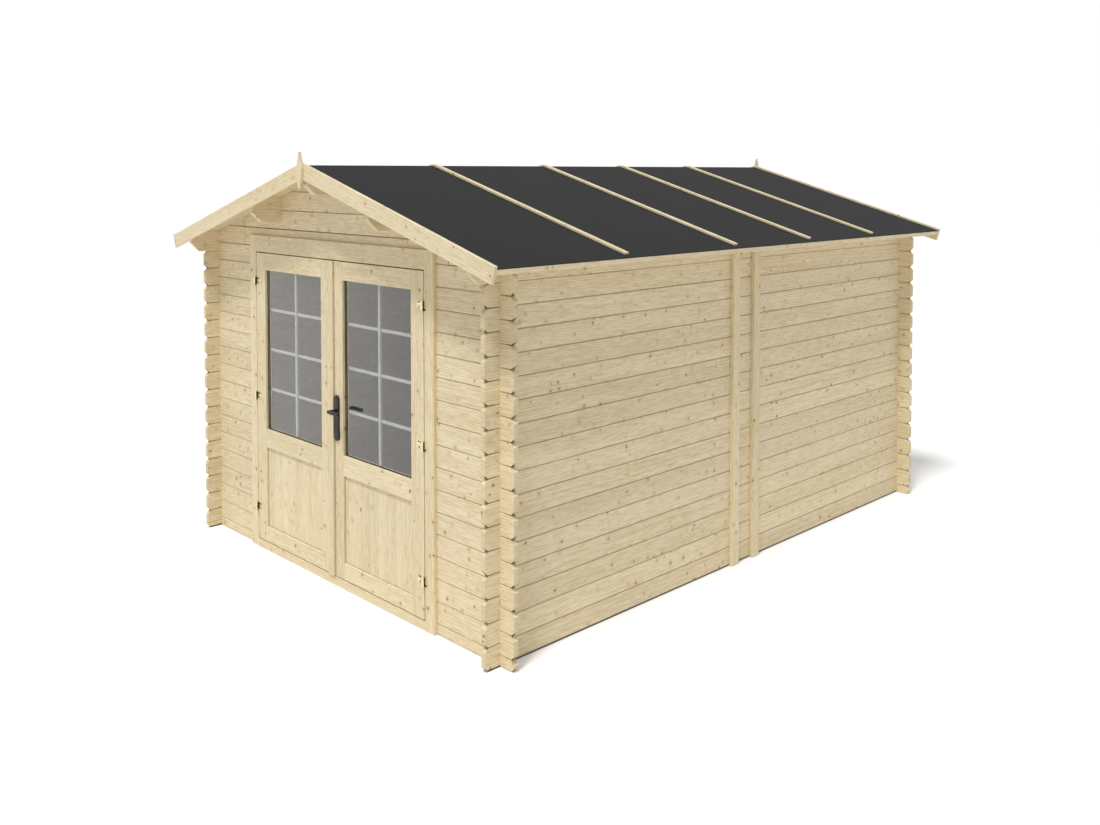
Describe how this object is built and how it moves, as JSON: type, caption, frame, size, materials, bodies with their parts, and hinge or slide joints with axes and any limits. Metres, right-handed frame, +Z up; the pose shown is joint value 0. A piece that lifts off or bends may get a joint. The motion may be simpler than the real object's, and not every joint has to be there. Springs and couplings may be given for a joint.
{
  "type": "garden shed",
  "caption": "Log-built garden shed with crossing log corners, a low felted gable roof with overhanging barge boards, and half-glazed double doors that swing outward.",
  "frame": {"origin": "on the ground in the middle of the plan, which is also the middle of the box seen from above", "axes": "+Z up, -Y toward the front with the doors, +X to the right seen from the front"},
  "size_m": [3.2072, 4.346, 2.452],
  "materials": {
    "wall_spruce": "planed, untreated",
    "trim_spruce": "planed, untreated",
    "roof_felt": "mineral surfaced, matte",
    "glass": "clear, grey against a dim inside",
    "hinge_brass": "plated, satin",
    "black_metal": "black, satin"
  },
  "bodies": {
    "shed": {"left_wall": "wall_spruce", "right_wall": "wall_spruce", "rear_wall": "wall_spruce", "rear_gable": "wall_spruce", "front_wall_left": "wall_spruce", "front_wall_right": "wall_spruce", "front_gable": "wall_spruce", "left_eaves_beam": "wall_spruce", "right_eaves_beam": "wall_spruce", "ridge_purlin": "wall_spruce", "left_purlin": "wall_spruce", "right_purlin": "wall_spruce", "left_roof_deck": "trim_spruce", "right_roof_deck": "trim_spruce", "left_roof_felt": "roof_felt", "right_roof_felt": "roof_felt", "left_felt_laths": "trim_spruce", "right_felt_laths": "trim_spruce", "eave_trims": "trim_spruce", "front_left_barge_board": "trim_spruce", "front_right_barge_board": "trim_spruce", "rear_left_barge_board": "trim_spruce", "rear_right_barge_board": "trim_spruce", "finials": "trim_spruce", "left_wall_battens": "trim_spruce", "right_wall_battens": "trim_spruce", "left_door_jamb": "trim_spruce", "right_door_jamb": "trim_spruce", "door_head": "trim_spruce", "door_sill": "trim_spruce", "hinge_pins": "hinge_brass"},
    "left_door": {"left_hinge_barrels": "hinge_brass", "left_door_stiles": "trim_spruce", "left_door_rails": "trim_spruce", "left_door_glass": "glass", "left_door_panel": "trim_spruce", "meeting_strip": "trim_spruce"},
    "right_door": {"right_hinge_barrels": "hinge_brass", "right_door_stiles": "trim_spruce", "right_door_rails": "trim_spruce", "right_door_glass": "glass", "right_door_panel": "trim_spruce", "handle_plates": "black_metal"},
    "handle": {"outer_lever": "black_metal", "inner_lever": "black_metal"}
  },
  "joints": [
    {"name": "left_door_swing", "type": "hinge", "parent": "shed", "child": "left_door", "pos_m": [-0.848, -1.98, 0.949], "axis": [0, 0, -1], "range_deg": [0, 165]},
    {"name": "right_door_swing", "type": "hinge", "parent": "shed", "child": "right_door", "pos_m": [0.848, -1.98, 0.949], "axis": [0, 0, 1], "range_deg": [0, 165]},
    {"name": "handle_turn", "type": "hinge", "parent": "right_door", "child": "handle", "pos_m": [0.054, -1.98, 1.004], "axis": [0, 1, 0], "range_deg": [0, 40], "stiffness_Nm_per_rad": 1.5, "springref_deg": -28.65}
  ]
}
